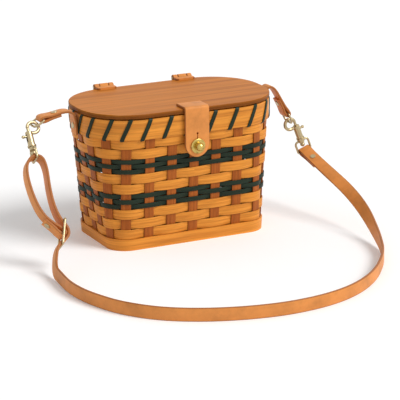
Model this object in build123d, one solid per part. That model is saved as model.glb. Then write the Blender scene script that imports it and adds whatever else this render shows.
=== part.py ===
from build123d import *
import math
import os

# Basket purse: flat-reed basket with a hinged board lid, leather closure and shoulder strap.
# Frame: origin at the centre of the underside, +Z up, the front faces -Y. Millimetres and degrees.

# Basket outline, measured at the middle of the stakes
base_length = 157.2
base_depth = 91.2
base_corner = 17.6
mouth_length = 187.0
mouth_depth = 108.0
mouth_corner = 46.5
stake_thickness = 1.2
weaver_thickness = 1.0

# Bottom
band_height = 11.0
band_thickness = 1.8
board_lift = 1.0
board_thickness = 7.0

# Rim
weave_top = 108.0
rim_height = 18.9
rim_thickness = 2.2
inner_rim_drop = 2.0
lashing_thickness = 0.8
lashing_width = 3.8
lashing_lean = 8.5
lashing_gap = 0.25
lashing_round = 510.0
lashing_right = (17.0, 39.5, 59.5, 79.0, 98.0, 117.0)
lashing_back = (138.0, 372.0)
lashing_back_wraps = 12
lashing_left = (391.0, 407.0, 425.7, 442.2, 460.2, 481.7, 504.0)

# Lid
lid_overhang = 3.5
lid_length = mouth_length + 2 * lid_overhang
lid_depth = mouth_depth + 2 * lid_overhang
lid_corner = 50.0
lid_thickness = 4.0
lid_edge_round = 0.8
lid_gap = 0.3

# Leather hinges
hinge_spacing = 84.0
hinge_width = 20.0
hinge_leather = 2.0
hinge_pin_radius = 1.25
pin_running_fit = 0.05
knuckle_gap = 0.3
hinge_axis_rise = 0.7
hinge_axis_back = 3.9
upper_leaf_length = 7.0
lower_leaf_length = 18.0

# Closure tab and stud
tab_width = 25.0
tab_leather = 2.4
tab_lap = 16.0
tab_drop = 46.0
tab_gap = 0.65
stud_drop = 35.5
stud_neck_radius = 2.4
stud_flange_radius = 5.0
stud_disc_radius = 7.3
stud_disc_thickness = 1.6
stud_ball_radius = 4.0
stud_clearance = 0.3
slit_length = 12.0
slit_width = 0.8
slit_hole_radius = 1.0
washer_thickness = 1.2

# Ears and their D-rings
ear_width = 12.6
ear_leather = 2.2
ear_return = 18.0
ear_rivet_back = 13.5
rivet_radius = 1.5
rivet_head_radius = 3.0
rivet_head_height = 1.1
ear_rivet_rise = 7.0
ring_wire = 2.0
ring_width = 15.0
ring_bar_corner = 1.2
ring_reach = 10.6
ring_fit = 0.1

# Snap hooks
hook_wire = 3.2
hook_radius = 5.4
hook_height = 25.0
hook_mouth = 4.4
barrel_radius = 3.4
barrel_top = 20.9
barrel_bottom = 5.5
bolt_radius = 1.35
bolt_fit = 0.08
bolt_travel = 4.2
bolt_foot = 14.2
spring_floor = 6.8
knob_reach = 7.4
knob_radius = 1.6
knob_height = 16.3
stem_radius = 1.4
stem_head_radius = 2.4
stem_head_drop = 0.4
eye_hub_radius = 3.1
eye_hub_bottom = 2.2
eye_gap = 0.2
eye_wire = 2.2
eye_width = 14.6
eye_drop = 7.6
left_ring_in_hook = 1.7
right_ring_in_hook = 2.6

# Strap and slide buckle
strap_width = 12.0
strap_leather = 2.4
strap_gap = 0.1
fold_length = 24.0
fold_rivet_place = 15.0
buckle_wire = 2.2
buckle_length = 25.0
buckle_corner = 1.4
buckle_inner_width = 12.8

# Places of the ears' folds and the lean of each snap hook, as the purse stands
left_fold = (-131.5, 125.0)
right_fold = (125.0, 100.0)
left_ring_turn = 212.0
right_ring_turn = 293.0
left_hook_axis = Vector(0.03, 0.62, 0.784)
right_hook_axis = Vector(-0.357, 0.0, 0.934)

# Worked-out levels
rim_bottom = weave_top
rim_top = rim_bottom + rim_height
lashing_top = rim_top + lashing_thickness + lashing_gap
lid_bottom = lashing_top + lid_gap
lid_top = lid_bottom + lid_thickness
half_wall = stake_thickness / 2 + weaver_thickness
rim_out = stake_thickness / 2 + rim_thickness
stud_height = lid_top - stud_drop
hinge_y = lid_depth / 2 + hinge_axis_back
hinge_z = lid_top + hinge_axis_rise


def lerp(a, b, t):
    return a + (b - a) * t


def outline_sizes(z, offset):
    """Length, depth and corner radius of the stake line at height z, moved out by offset."""
    t = min(max(z / weave_top, 0.0), 1.0)
    length = lerp(base_length, mouth_length, t) + 2 * offset
    depth = lerp(base_depth, mouth_depth, t) + 2 * offset
    corner = lerp(base_corner, mouth_corner, t) + offset
    return length, depth, corner


def outline_face(z, offset):
    """The rounded rectangle of the stake line at height z, moved out by offset, as a face."""
    length, depth, corner = outline_sizes(z, offset)
    return Plane.XY.offset(z) * RectangleRounded(length, depth, corner)


def shell_ring(z0, z1, inner, outer):
    """A ring that follows the basket's flare between two heights and two offsets."""
    outside = loft([outline_face(z0, outer), outline_face(z1, outer)], ruled=True)
    inside = loft([outline_face(z0, inner), outline_face(z1, inner)], ruled=True)
    return outside - inside


def outline_point(z, offset, along):
    """Point and outward normal at a distance along the outline from the front centre, towards +X."""
    length, depth, corner = outline_sizes(z, 0.0)
    half_front = length / 2 - corner
    half_end = depth / 2 - corner
    arc = corner * math.pi / 2
    quarter = half_front + arc + half_end
    turns = math.floor(along / (4 * quarter) + 0.5)
    s = along - turns * 4 * quarter
    side = 1 if s >= 0 else -1
    s = abs(s)
    back = s > 2 * quarter - 1e-9 or s > quarter
    if back:
        s = 2 * quarter - s
    if s <= half_front:
        x, y, nx, ny = s, -depth / 2, 0.0, -1.0
    elif s <= half_front + arc:
        turn = (s - half_front) / corner
        nx, ny = math.sin(turn), -math.cos(turn)
        x = half_front + corner * nx
        y = -half_end + corner * ny
    else:
        x, y, nx, ny = length / 2, -half_end + (s - half_front - arc), 1.0, 0.0
    if back:
        y, ny = -y, -ny
    x, nx = x * side, nx * side
    return Vector(x + nx * offset, y + ny * offset, z), Vector(nx, ny, 0)


def quarter_length(z):
    """A quarter of the outline's way round at height z."""
    length, depth, corner = outline_sizes(z, 0.0)
    return length / 2 + depth / 2 - 2 * corner + corner * math.pi / 2


def prism(corners_low, corners_high):
    """A closed solid between two four-sided faces."""
    low = Face(Wire.make_polygon(corners_low, close=True))
    high = Face(Wire.make_polygon(corners_high, close=True))
    return loft([low, high], ruled=True)


def side_line(points, radii, shift):
    """A bent line moved to its left by shift, with its corners' mitres and radii moved along."""
    places = [Vector(x, y) for x, y in points]
    ways = [(b - a).normalized() for a, b in zip(places, places[1:])]
    lefts = [Vector(-w.Y, w.X) for w in ways]
    moved = [places[0] + lefts[0] * shift]
    rounds = []
    for i, radius in enumerate(radii):
        bisector = (lefts[i] + lefts[i + 1]).normalized()
        moved.append(places[i + 1] + bisector * (shift / bisector.dot(lefts[i])))
        bend = 1 if ways[i].cross(ways[i + 1]).Z > 0 else -1
        rounds.append(radius - bend * shift)
    moved.append(places[-1] + lefts[-1] * shift)
    return FilletPolyline(*moved, radius=rounds)


def strip(plane, points, radii, thickness, width):
    """A strip of leather: a bent line in the plane, thickened, and given its width both ways."""
    left = side_line(points, radii, thickness / 2)
    right = side_line(points, radii, -thickness / 2)
    face = make_face([left, right, Line(left @ 0, right @ 0), Line(left @ 1, right @ 1)])
    return extrude(plane * face, amount=width / 2, both=True)


def rod(start, end, radius):
    """A round rod from one point to another."""
    way = end - start
    return Plane(origin=start, z_dir=way) * Cylinder(
        radius, way.length, align=(Align.CENTER, Align.CENTER, Align.MIN)
    )


def rivet(place, way, grip):
    """A domed tubular rivet: head at the place, shank along the way, and a flat burr at the far end."""
    frame = Plane(origin=place, z_dir=way)
    head = Cylinder(rivet_head_radius, rivet_head_height, align=(Align.CENTER, Align.CENTER, Align.MAX))
    head = fillet(head.faces().sort_by(Axis.Z)[0].edges(), rivet_head_height * 0.6)
    shank = Cylinder(rivet_radius, grip, align=(Align.CENTER, Align.CENTER, Align.MIN))
    burr = Pos(0, 0, grip) * Cylinder(
        rivet_head_radius * 0.85, rivet_head_height * 0.7, align=(Align.CENTER, Align.CENTER, Align.MIN)
    )
    return frame * (head + shank + burr)


# Bottom and wall
def make_base_board():
    """The wooden bottom board, inside the feet of the stakes."""
    low = board_lift
    high = board_lift + board_thickness
    inset = -stake_thickness / 2
    return loft([outline_face(low, inset), outline_face(high, inset)], ruled=True)


def make_woven_wall():
    """The wall: bare stake ends behind the band and rim, full weave thickness between them."""
    bare = stake_thickness / 2
    foot = shell_ring(0.3, band_height, -bare, bare)
    weave = shell_ring(band_height, weave_top, -half_wall, half_wall)
    head = shell_ring(weave_top, rim_top - 0.5, -bare, bare)
    return foot + weave + head


def make_base_band():
    """The wooden band nailed round the feet of the stakes."""
    return shell_ring(0.0, band_height, stake_thickness / 2, stake_thickness / 2 + band_thickness)


def make_rim_outer():
    return shell_ring(rim_bottom, rim_top, stake_thickness / 2, rim_out)


def make_rim_inner():
    return shell_ring(rim_bottom + inner_rim_drop, rim_top, -rim_out, -stake_thickness / 2)


def lashing_wrap(along):
    """One wrap: a leaning strip outside, a strip over the top and a strip down inside."""
    half = lashing_width / 2
    near = rim_out + lashing_gap
    far = near + lashing_thickness
    low_z = rim_bottom - 0.2
    low = [outline_point(low_z, o, along - lashing_lean / 2 + s) for o, s in
           ((near, -half), (near, half), (far, half), (far, -half))]
    high = [outline_point(lashing_top, o, along + lashing_lean / 2 + s) for o, s in
            ((near, -half), (near, half), (far, half), (far, -half))]
    outside = prism([p for p, n in low], [p for p, n in high])
    under = [outline_point(rim_top + lashing_gap, o, along + lashing_lean / 2 + s)[0] for o, s in
             ((-far, -half), (-far, half), (far, half), (far, -half))]
    over = [Vector(p.X, p.Y, lashing_top) for p in under]
    top = prism(under, over)
    in_low = [outline_point(rim_bottom + inner_rim_drop, o, along + s)[0] for o, s in
              ((-far, -half), (-far, half), (-near, half), (-near, -half))]
    in_high = [outline_point(lashing_top, o, along + lashing_lean / 2 + s)[0] for o, s in
               ((-far, -half), (-far, half), (-near, half), (-near, -half))]
    inside = prism(in_low, in_high)
    return outside + top + inside


def make_lashing():
    """The green reed lashing. Its wraps on the front and left follow the photograph."""
    around = 4 * quarter_length(weave_top)
    pitch = (lashing_back[1] - lashing_back[0]) / (lashing_back_wraps - 1)
    hidden = [lashing_back[0] + pitch * i for i in range(lashing_back_wraps)]
    places = list(lashing_right) + hidden + list(lashing_left)
    return [lashing_wrap(place / lashing_round * around) for place in places]


# Lid and hinges
def make_lid_board():
    board = Plane.XY.offset(lid_bottom) * extrude(RectangleRounded(lid_length, lid_depth, lid_corner), lid_thickness)
    rims = board.faces().sort_by(Axis.Z)[-1].edges() + board.faces().sort_by(Axis.Z)[0].edges()
    return fillet(rims, lid_edge_round)


knuckle_radius = hinge_pin_radius + pin_running_fit + hinge_leather


def knuckle(x0, x1, bore):
    """A rolled leather knuckle round the pin, from x0 to x1."""
    tube = Cylinder(knuckle_radius, x1 - x0) - Cylinder(bore, x1 - x0)
    return Pos((x0 + x1) / 2, hinge_y, hinge_z) * Rot(0, 90, 0) * tube


def upper_leaf(x):
    """The lid's hinge leather: a flat leaf on the lid and a knuckle in the middle of the pin."""
    reach = knuckle_radius + 0.5
    front = hinge_y - reach
    middle = hinge_width / 2 - hinge_width / 4 - knuckle_gap
    flat = Pos(x, front - upper_leaf_length / 2, lid_top + hinge_leather / 2) * Box(
        hinge_width, upper_leaf_length, hinge_leather
    )
    ears = flat.edges().filter_by(Axis.Z).sort_by(Axis.Y)[:2]
    flat = fillet(ears, upper_leaf_length * 0.3)
    neck = Pos(x, front + reach / 2, lid_top + hinge_leather / 2) * Box(2 * middle, reach, hinge_leather)
    bore = hinge_pin_radius + pin_running_fit
    roll = knuckle(x - middle, x + middle, bore)
    bored = Pos(x, hinge_y, hinge_z) * Rot(0, 90, 0) * Cylinder(bore, hinge_width)
    return flat + neck + roll - bored


def rim_back(offset):
    """Y of the back of the rim, moved out by offset."""
    return mouth_depth / 2 + rim_out + lashing_gap + lashing_thickness + offset


def lower_leaf(x):
    """The basket's hinge leather: a leaf down the back of the rim and two outer knuckles."""
    side = hinge_width / 4
    y0 = rim_back(lashing_gap * 2)
    top = hinge_z - hinge_pin_radius - pin_running_fit
    low = rim_top - lower_leaf_length + 4.0
    flat = Pos(x, y0 + hinge_leather / 2, low) * Box(
        hinge_width, hinge_leather, lid_bottom - low, align=(Align.CENTER, Align.CENTER, Align.MIN)
    )
    flat = fillet(flat.edges().filter_by(Axis.Y).sort_by(Axis.Z)[:2], hinge_width * 0.3)
    leaf = flat
    for x0 in (x - hinge_width / 2, x + hinge_width / 2 - side):
        arm = Pos(x0 + side / 2, y0 + hinge_leather / 2, lid_bottom - 1.0) * Box(
            side, hinge_leather, top - lid_bottom + 1.0, align=(Align.CENTER, Align.CENTER, Align.MIN)
        )
        leaf = leaf + arm + knuckle(x0, x0 + side, hinge_pin_radius)
    bored = Pos(x, hinge_y, hinge_z) * Rot(0, 90, 0) * Cylinder(hinge_pin_radius, hinge_width * 2)
    swing = Pos(x, hinge_y, hinge_z) * Rot(0, 90, 0) * Cylinder(
        knuckle_radius + knuckle_gap, hinge_width - 2 * side
    )
    leaf = leaf - bored - swing
    return leaf - rivet_bore(lower_rivet_place(x), Vector(0, -1, 0), hinge_leather)


def lower_rivet_place(x):
    return Vector(x, rim_back(lashing_gap * 2) + hinge_leather, rim_top - lower_leaf_length / 2 + 1.0)


def rivet_bore(place, way, depth):
    """The hole that a rivet passes, from its head to the given depth."""
    return rod(place - way * 0.5, place + way * (depth + 0.5), rivet_radius)


def hinge_places():
    return (-hinge_spacing / 2, hinge_spacing / 2)


def make_hinge_pin(x):
    return Pos(x, hinge_y, hinge_z) * Rot(0, 90, 0) * Cylinder(hinge_pin_radius, hinge_width + 1.0)


# Closure
tab_axis_y = -lid_depth / 2 - tab_gap
tab_outer = tab_axis_y - tab_leather


def make_tab_top():
    """The part of the closure leather that is fixed on the lid."""
    y1 = -lid_depth / 2
    return Pos(0, y1 + tab_lap / 2, lid_top + tab_leather / 2) * Box(tab_width, tab_lap, tab_leather)


def make_tab_flap():
    """The hanging part: a bend over the lid's edge and a tongue with a rounded end and a slit."""
    turn = tab_leather + tab_gap
    plane = Plane(origin=(0, -lid_depth / 2, lid_top), x_dir=(0, -1, 0), z_dir=(-1, 0, 0))
    run = tab_leather / 2
    pts = [(0.0, run), (tab_gap + run, run), (tab_gap + run, -tab_drop)]
    flap = strip(plane, pts, [tab_gap + run - 0.05], tab_leather, tab_width)
    cutter_depth = 8 * turn
    round_centre = lid_top - tab_drop + tab_width / 2
    tongue = Pos(0, 0, round_centre + tab_drop) * Box(tab_width, cutter_depth, 2 * tab_drop)
    tongue += Pos(0, 0, round_centre) * Rot(90, 0, 0) * Cylinder(tab_width / 2, cutter_depth)
    flap = flap & (Pos(0, tab_axis_y, 0) * tongue)
    hole = Pos(0, tab_axis_y, stud_height) * Rot(90, 0, 0) * Cylinder(stud_neck_radius + stud_clearance, cutter_depth)
    slit = Pos(0, tab_axis_y, stud_height + slit_length / 2) * Box(slit_width, cutter_depth, slit_length)
    end = Pos(0, tab_axis_y, stud_height + slit_length) * Rot(90, 0, 0) * Cylinder(slit_hole_radius, cutter_depth)
    return flap - hole - slit - end


def wall_front():
    """Y of the weave's outer face where the stud stands."""
    return -(outline_sizes(stud_height, half_wall)[1]) / 2


def make_stud():
    """The brass stud: flange behind the tab, neck through it, disc and ball in front."""
    y0 = wall_front()
    shank = stud_neck_radius * 0.75
    flange_end = tab_axis_y + stud_clearance
    through = half_wall * 2 + washer_thickness + 1.4
    neck_end = tab_outer - stud_clearance
    disc_end = neck_end - stud_disc_thickness
    start = Vector(0, y0 - 0.5, stud_height)
    body = rod(Vector(0, y0 + through, stud_height), start, shank)
    body += rod(start, Vector(0, flange_end, stud_height), stud_flange_radius)
    body += rod(Vector(0, flange_end, stud_height), Vector(0, neck_end, stud_height), stud_neck_radius)
    disc = rod(Vector(0, neck_end, stud_height), Vector(0, disc_end, stud_height), stud_disc_radius)
    disc = fillet(disc.faces().sort_by(Axis.Y)[0].edges(), stud_disc_thickness * 0.6)
    ball = Pos(0, disc_end - stud_ball_radius * 0.62, stud_height) * Sphere(stud_ball_radius)
    return body + disc + ball


def make_stud_washer():
    """The brass washer on the stud's shank, inside the basket."""
    y0 = wall_front() + 2 * half_wall + 0.5
    ring = Cylinder(stud_flange_radius, washer_thickness) - Cylinder(stud_neck_radius * 0.75, washer_thickness)
    return Pos(0, y0 + washer_thickness / 2, stud_height) * Rot(90, 0, 0) * ring


# Ears and rings
ring_bar_room = ring_wire / 2 + ring_fit


def ear_points(side, fold):
    """The ear's line in X and Z: up the rim's end, over an arch, round the ring's bar and back under."""
    x0 = mouth_length / 2 + rim_out + lashing_gap + lashing_thickness + ear_leather / 2 + 0.05
    fx, fz = abs(fold[0]), fold[1]
    run_x, run_z = fx - (x0 + 10.0), fz - (lid_top - 3.0)
    size = math.hypot(run_x, run_z)
    dx, dz = run_x / size, run_z / size
    up_x, up_z = -dz, dx
    lay = ring_bar_room + ear_leather / 2
    close = ear_leather / 2 + 0.05

    def beside(back, out):
        return fx - back * dx + up_x * out, fz - back * dz + up_z * out

    pts = [(x0, rim_bottom - 1.0), (x0, lid_top - 6.5), beside(size + 2.2, close)]
    pts += [beside(9.0, close), beside(3.5, lay), beside(-lay, lay)]
    pts += [beside(-lay, -lay), beside(3.5, -lay), beside(9.0, -close), beside(ear_return, -close)]
    return [(side * x, z) for x, z in pts], Vector(side * dx, 0, dz)


def make_ear(side, fold):
    pts, way = ear_points(side, fold)
    lay = ring_bar_room + ear_leather / 2
    radii = [7.0, 6.0, 6.0, 3.0, lay * 0.97, lay * 0.97, 3.0, 6.0]
    plane = Plane(origin=(0, 0, 0), x_dir=(1, 0, 0), z_dir=(0, -1, 0))
    ear = strip(plane, pts, radii, ear_leather, ear_width)
    return ear - ear_rim_bore(side) - ear_fold_bore(side, fold)


def ear_rim_place(side):
    x0 = mouth_length / 2 + rim_out + lashing_gap + lashing_thickness + ear_leather + 0.05
    return Vector(side * x0, 0, rim_bottom + ear_rivet_rise)


def ear_grip():
    """How much leather and rim an ear's rivet holds."""
    return ear_leather + 0.05 + lashing_gap + lashing_thickness + 2 * rim_out


def ear_rim_bore(side):
    place = ear_rim_place(side)
    way = Vector(-side, 0, 0)
    return rod(place - way, place + way * (ear_grip() + 1.0), rivet_radius)


def ear_fold_place(side, fold):
    """Head of the rivet that closes the ear round the ring, and the rivet's way."""
    pts, way = ear_points(side, fold)
    normal = Vector(-way.Z, 0, way.X) * (1 if side > 0 else -1)
    middle = Vector(fold[0], 0, fold[1]) - way * ear_rivet_back
    return middle + normal * (ear_leather + 0.05), normal * -1


def ear_fold_bore(side, fold):
    place, way = ear_fold_place(side, fold)
    return rod(place - way, place + way * (2 * ear_leather + 1.1), rivet_radius)


def ring_frame(fold, turn):
    """Frame of a D-ring: origin on its bar, x outwards along its reach, z along the bar."""
    way = Vector(math.cos(math.radians(turn)), 0, math.sin(math.radians(turn)))
    return Plane(origin=(fold[0], 0, fold[1]), x_dir=way, z_dir=(0, 1, 0))


def make_ring(fold, turn):
    """A wire D-ring: a straight bar in the ear's fold and a round bow that holds the hook."""
    frame = Plane(origin=(fold[0], 0, fold[1]), x_dir=(0, 1, 0),
                  z_dir=ring_frame(fold, turn).x_dir.cross(Vector(0, 1, 0)))
    half = ring_width / 2
    reach = ring_reach if frame.y_dir.dot(ring_frame(fold, turn).x_dir) > 0 else -ring_reach
    pts = [(-half, 0), (half, 0), (half, reach), (-half, reach)]
    rounds = [ring_bar_corner, ring_bar_corner, 5.0, 5.0]
    path = frame * FilletPolyline(*pts, radius=rounds, close=True)
    start = path @ 0
    face = Plane(origin=start, z_dir=path % 0) * Circle(ring_wire / 2)
    return sweep(face, path=path)


def ring_bow(fold, turn):
    """The middle of the D-ring's bow."""
    way = ring_frame(fold, turn).x_dir
    return Vector(fold[0], 0, fold[1]) + way * ring_reach


# Snap hooks, in a frame whose z runs along the shank from the eye to the hook
def hook_frame(fold, turn, axis, side, ring_in_hook):
    """Origin at the shank's foot. The bow of the D-ring lies at the top inside the hook."""
    z = axis.normalized()
    x = (Vector(side, 0, 0) - z * z.dot(Vector(side, 0, 0))).normalized()
    bow = ring_bow(fold, turn)
    centre = bow - z * ring_in_hook
    foot = centre - z * hook_height + x * hook_radius
    return Plane(origin=foot, x_dir=x, z_dir=z)


def make_hook(frame):
    """Hook, bored barrel with a knob slot, swivel stem and its head, in one casting."""
    half = hook_wire / 2
    mouth = math.degrees(math.asin((barrel_top + hook_mouth - hook_height) / hook_radius))
    arc = Plane.XZ * CenterArc((-hook_radius, hook_height), hook_radius, mouth, 270 - mouth)
    arc_end = Vector(-hook_radius, 0, hook_height - hook_radius)
    tip = Plane(origin=arc @ 0, z_dir=arc % 0) * Circle(half)
    bow = sweep(tip, path=arc)
    arm = rod(arc_end, arc_end + Vector(hook_radius - barrel_radius * 0.4, 0, 0), half)
    barrel = rod(Vector(0, 0, barrel_bottom), Vector(0, 0, barrel_top), barrel_radius)
    barrel = chamfer(barrel.edges(), 0.4)
    collar = rod(Vector(0, 0, barrel_bottom), Vector(0, 0, barrel_bottom + 1.6), barrel_radius + 0.7)
    stem = rod(Vector(0, 0, -stem_head_drop), Vector(0, 0, barrel_bottom), stem_radius)
    head = Pos(0, 0, -stem_head_drop) * Sphere(stem_head_radius)
    head = head - Pos(0, 0, eye_hub_bottom - eye_gap) * Cylinder(
        stem_head_radius * 2, 4, align=(Align.CENTER, Align.CENTER, Align.MIN)
    )
    hook = bow + arm + barrel + collar + stem + head
    bore_radius = bolt_radius + bolt_fit
    hook -= rod(Vector(0, 0, spring_floor), Vector(0, 0, hook_height - half), bore_radius)
    slot_low = knob_height - knob_radius - bolt_travel - 0.2
    slot_high = knob_height + knob_radius + 0.2
    hook -= Pos(0, 0, slot_low) * Box(
        2 * barrel_radius, 2 * knob_radius + 0.3, slot_high - slot_low,
        align=(Align.MIN, Align.CENTER, Align.MIN)
    )
    return frame * hook


def make_bolt(frame):
    """The spring bolt that shuts the hook, with its thumb knob."""
    tip = barrel_top + hook_mouth - hook_wire * 0.14
    bolt = rod(Vector(0, 0, bolt_foot), Vector(0, 0, tip), bolt_radius)
    knob = rod(Vector(0, 0, knob_height), Vector(knob_reach - 1.4, 0, knob_height), knob_radius * 0.7)
    thumb = Pos(knob_reach - 1.1, 0, knob_height) * Sphere(knob_radius)
    return frame * (bolt + knob + thumb)


def make_spring(frame):
    """The bolt's spring, as the closed sleeve that its turns fill."""
    length = bolt_foot - spring_floor - 0.1
    sleeve = Cylinder(bolt_radius, length) - Cylinder(bolt_radius - 0.5, length)
    return frame * (Pos(0, 0, spring_floor + 0.05 + length / 2) * sleeve)


def make_eye(frame, turn):
    """The swivel eye: a hub that turns on the stem and a loop for the strap."""
    half = eye_width / 2
    hub_top = barrel_bottom - eye_gap
    level = (hub_top + eye_hub_bottom) / 2
    hub = rod(Vector(0, 0, eye_hub_bottom), Vector(0, 0, hub_top), eye_hub_radius)
    pts = [(-half, level), (half, level), (half, -eye_drop), (-half, -eye_drop)]
    path = Plane.XZ * FilletPolyline(*pts, radius=[3.0, 3.0, 1.6, 1.6], close=True)
    face = Plane(origin=path @ 0, z_dir=path % 0) * Circle(eye_wire / 2)
    eye = sweep(face, path=path) + hub
    eye -= rod(Vector(0, 0, eye_hub_bottom - 4), Vector(0, 0, hub_top + 4), stem_radius + bolt_fit)
    room = Pos(0, 0, eye_hub_bottom) * Cylinder(
        stem_head_radius + 0.2, 6, align=(Align.CENTER, Align.CENTER, Align.MAX)
    )
    return frame * (Rot(0, 0, turn) * (eye - room))


left_hook = hook_frame(left_fold, left_ring_turn, left_hook_axis, -1, left_ring_in_hook)
right_hook = hook_frame(right_fold, right_ring_turn, right_hook_axis, 1, right_ring_in_hook)


# Strap: a loop through the left eye and the slide buckle, a run over the floor, a fold at the right eye
def loop_plane():
    """Plane of the left loop: origin on the eye's bar, x outwards, y down along the snap's line."""
    bar = left_hook.origin - left_hook.z_dir * eye_drop
    return Plane(origin=bar, x_dir=left_hook.x_dir, z_dir=left_hook.x_dir.cross(left_hook.z_dir * -1))


lay_on_bar = eye_wire / 2 + strap_gap + strap_leather / 2
lay_on_strap = strap_leather / 2 + strap_gap / 2
buckle_way = Vector(0.317, 0.948).normalized()
buckle_side = Vector(buckle_way.Y, -buckle_way.X)
buckle_middle = Vector(-7.5, 75.0)
fixed_way = Vector(0.668, -0.745).normalized()
fixed_side = Vector(fixed_way.Y, -fixed_way.X)
loop_end = Vector(3.6, 95.0)
loop_lap = 20.0
strap_grip = 2 * strap_leather + strap_gap


def loop_points():
    """The loop's line from the riveted end, round the buckle's middle bar and the eye, to the run."""
    lay = lay_on_bar
    near = lay_on_strap

    def fixed(out, across):
        return buckle_middle + fixed_way * out + fixed_side * across

    def slider(along, across):
        return buckle_middle + buckle_way * along + buckle_side * across

    reach = buckle_length / 2
    bulge = -lay - 2 * near - 0.4
    pts = [fixed(loop_lap, -near), fixed(9.5, -near), fixed(4.5, -lay), fixed(-lay, -lay)]
    pts += [fixed(-lay, lay), fixed(4.5, lay), fixed(9.5, near), fixed(loop_lap + 4.0, near)]
    pts += [Vector(*p) for p in ((12.6, 36.0), (13.2, 10.0), (6.0, -lay), (-5.0, -lay))]
    pts += [Vector(*p) for p in ((-7.6, 9.0), (-5.2, 30.0), (-5.0, 48.0))]
    clear = lay + 1.5
    pts += [slider(-reach, clear), slider(-4.5, bulge), slider(4.5, bulge), slider(reach, clear)]
    pts.append(loop_end)
    return [(p.X, p.Y) for p in pts]


def round_corners(points, most):
    """A radius for each corner: 0.45 of its shorter run over the tangent of half its turn."""
    radii = []
    for a, b, c in zip(points, points[1:], points[2:]):
        before, after = Vector(*b) - Vector(*a), Vector(*c) - Vector(*b)
        turn = math.radians(before.get_angle(after))
        radii.append(min(most, 0.45 * min(before.length, after.length) / math.tan(turn / 2)))
    return radii


def make_strap_loop():
    points = loop_points()
    loop = strip(loop_plane(), points, round_corners(points, 60.0), strap_leather, strap_width)
    return loop - rivet_bore(*loop_rivet_place(), strap_grip)


def make_buckle():
    """The brass slide buckle: a wire frame with a middle bar."""
    plane = loop_plane()
    across = plane.z_dir
    way = plane.x_dir * buckle_way.X + plane.y_dir * buckle_way.Y
    centre = plane.origin + plane.x_dir * buckle_middle.X + plane.y_dir * buckle_middle.Y
    frame = Plane(origin=centre, x_dir=across, z_dir=across.cross(way))
    half = (buckle_inner_width + buckle_wire) / 2
    reach = buckle_length / 2
    pts = [(-half, -reach), (half, -reach), (half, reach), (-half, reach)]
    path = frame * FilletPolyline(*pts, radius=buckle_corner, close=True)
    ring = sweep(Plane(origin=path @ 0, z_dir=path % 0) * Circle(buckle_wire / 2), path=path)
    return ring + rod(centre - across * half, centre + across * half, buckle_wire / 2)


def loop_place(point):
    plane = loop_plane()
    return plane.origin + plane.x_dir * point.X + plane.y_dir * point.Y


def loop_rivet_place():
    """Head of the rivet that closes the loop's end round the buckle's bar, and the rivet's way."""
    plane = loop_plane()
    normal = plane.x_dir * fixed_side.X + plane.y_dir * fixed_side.Y
    middle = loop_place(buckle_middle + fixed_way * fold_rivet_place)
    return middle - normal * (strap_grip / 2), normal


right_bar = right_hook.origin - right_hook.z_dir * eye_drop
fold_way = (Vector(0, -1, 0) * 0.93 - right_hook.z_dir * 0.37).normalized()
fold_plane = Plane(origin=right_bar, x_dir=fold_way, z_dir=right_hook.x_dir)


def make_strap_fold():
    """The strap's right end: folded round the eye's bar, its two layers riveted together."""
    lay = lay_on_bar
    near = lay_on_strap
    pts = [(fold_length, -near), (9.5, -near), (3.5, -lay), (-lay, -lay)]
    pts += [(-lay, lay), (3.5, lay), (9.5, near), (fold_length, near)]
    fold = strip(fold_plane, pts, round_corners(pts, 8.0), strap_leather, strap_width)
    return fold - rivet_bore(*fold_rivet(), strap_grip)


def fold_rivet():
    """Head of the rivet that closes the strap's right end, and the rivet's way."""
    normal = fold_plane.y_dir
    return right_bar + fold_way * fold_rivet_place + normal * (strap_grip / 2), normal * -1


strap_route = (
    (156.5, -63.0, 36.5), (156.5, -86.0, 29.0), (154.5, -108.0, 21.0),
    (150.5, -128.0, 13.5), (144.0, -150.0, 8.2), (134.5, -172.0, 6.1), (123.0, -191.0, 6.1),
    (109.5, -209.0, 6.1), (95.0, -226.0, 6.1), (78.5, -241.0, 6.1), (59.5, -254.0, 6.1),
    (38.0, -264.0, 6.1), (12.0, -270.5, 6.1), (-20.0, -272.5, 6.1), (-52.0, -267.5, 6.1),
    (-80.0, -258.5, 6.1), (-103.0, -247.0, 6.1), (-121.0, -234.0, 6.1), (-134.5, -219.0, 6.1),
    (-146.0, -202.0, 6.1), (-154.0, -182.0, 6.1), (-159.5, -163.0, 6.1), (-162.5, -146.0, 6.6),
    (-162.9, -130.0, 6.7), (-161.3, -112.0, 7.0),
)
strap_lead = 15.0
twist_right = 150.0
twist_left = 110.0


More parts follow.
